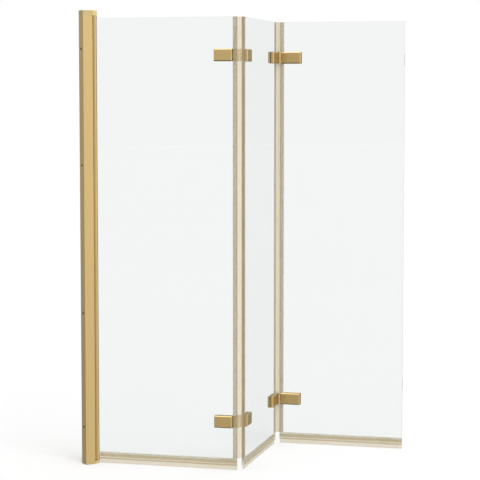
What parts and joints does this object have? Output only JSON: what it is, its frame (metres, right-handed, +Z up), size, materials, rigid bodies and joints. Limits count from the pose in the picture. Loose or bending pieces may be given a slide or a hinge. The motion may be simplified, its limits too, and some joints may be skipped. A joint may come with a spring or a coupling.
{
  "type": "folding bath screen",
  "caption": "Wall-mounted folding bath screen: clear glass panels on gold block hinges, a gold wall profile with a round pivot stile, soft fold strips and drip seals.",
  "frame": {"origin": "on the wall face, on the centre line of the wall profile, level with the bath rim under the profile", "axes": "+X away from the wall, -Y towards the viewer of the picture, +Z up"},
  "size_m": [0.9751, 0.3359, 1.38],
  "materials": {
    "gold_profile": "satin gold anodised",
    "gold_cap": "satin gold",
    "gold_hinge": "brushed gold",
    "clear_glass": "clear toughened",
    "champagne_seal": "translucent champagne",
    "soft_strip": "translucent soft vinyl",
    "gasket": "matt",
    "bush": "smooth acetal",
    "steel": "plain stainless"
  },
  "bodies": {
    "wall_frame": {"wall_channel": "gold_profile", "pivot_post": "gold_profile", "top_cap": "gold_cap", "bottom_cap": "gold_cap", "upper_bush": "bush", "lower_bush": "bush", "cap_screws": "steel", "post_screws": "steel"},
    "first_panel": {"first_glass": "clear_glass", "pivot_stile": "gold_profile", "stile_gasket": "gasket", "upper_pivot_plug": "steel", "lower_pivot_plug": "steel", "plug_screws": "steel", "first_bottom_seal": "champagne_seal", "first_edge_seal": "champagne_seal", "first_upper_leaf": "gold_hinge", "first_lower_leaf": "gold_hinge", "first_upper_cover": "gold_hinge", "first_lower_cover": "gold_hinge", "first_clamp_plates": "steel", "first_hinge_screws": "steel", "first_hinge_gaskets": "gasket", "first_fold_upper_pin": "steel", "first_fold_lower_pin": "steel", "first_fold_washers": "bush", "first_fold_strip": "soft_strip"},
    "second_panel": {"second_glass": "clear_glass", "second_bottom_seal": "champagne_seal", "second_near_seal": "champagne_seal", "second_far_seal": "champagne_seal", "second_near_upper_leaf": "gold_hinge", "second_near_lower_leaf": "gold_hinge", "second_near_upper_cover": "gold_hinge", "second_near_lower_cover": "gold_hinge", "second_far_upper_leaf": "gold_hinge", "second_far_lower_leaf": "gold_hinge", "second_far_upper_cover": "gold_hinge", "second_far_lower_cover": "gold_hinge", "second_clamp_plates": "steel", "second_hinge_screws": "steel", "second_hinge_gaskets": "gasket", "second_fold_upper_pin": "steel", "second_fold_lower_pin": "steel", "second_fold_washers": "bush", "second_fold_strip": "soft_strip"},
    "third_panel": {"third_glass": "clear_glass", "third_bottom_seal": "champagne_seal", "third_edge_seal": "champagne_seal", "third_upper_leaf": "gold_hinge", "third_lower_leaf": "gold_hinge", "third_upper_cover": "gold_hinge", "third_lower_cover": "gold_hinge", "third_clamp_plates": "steel", "third_hinge_screws": "steel", "third_hinge_gaskets": "gasket"}
  },
  "joints": [
    {"name": "wall_pivot", "type": "hinge", "parent": "wall_frame", "child": "first_panel", "pos_m": [0.043, 0, 0], "axis": [0, 0, 1], "range_deg": [-45, 45]},
    {"name": "first_fold", "type": "hinge", "parent": "first_panel", "child": "second_panel", "pos_m": [0.36845, -0.30565, 0], "axis": [0, 0, 1], "range_deg": [-90, 90], "deforming": ["first_fold_strip"]},
    {"name": "second_fold", "type": "hinge", "parent": "second_panel", "child": "third_panel", "pos_m": [0.67781, -0.03589, 0], "axis": [0, 0, 1], "range_deg": [-90, 90], "deforming": ["second_fold_strip"]}
  ]
}
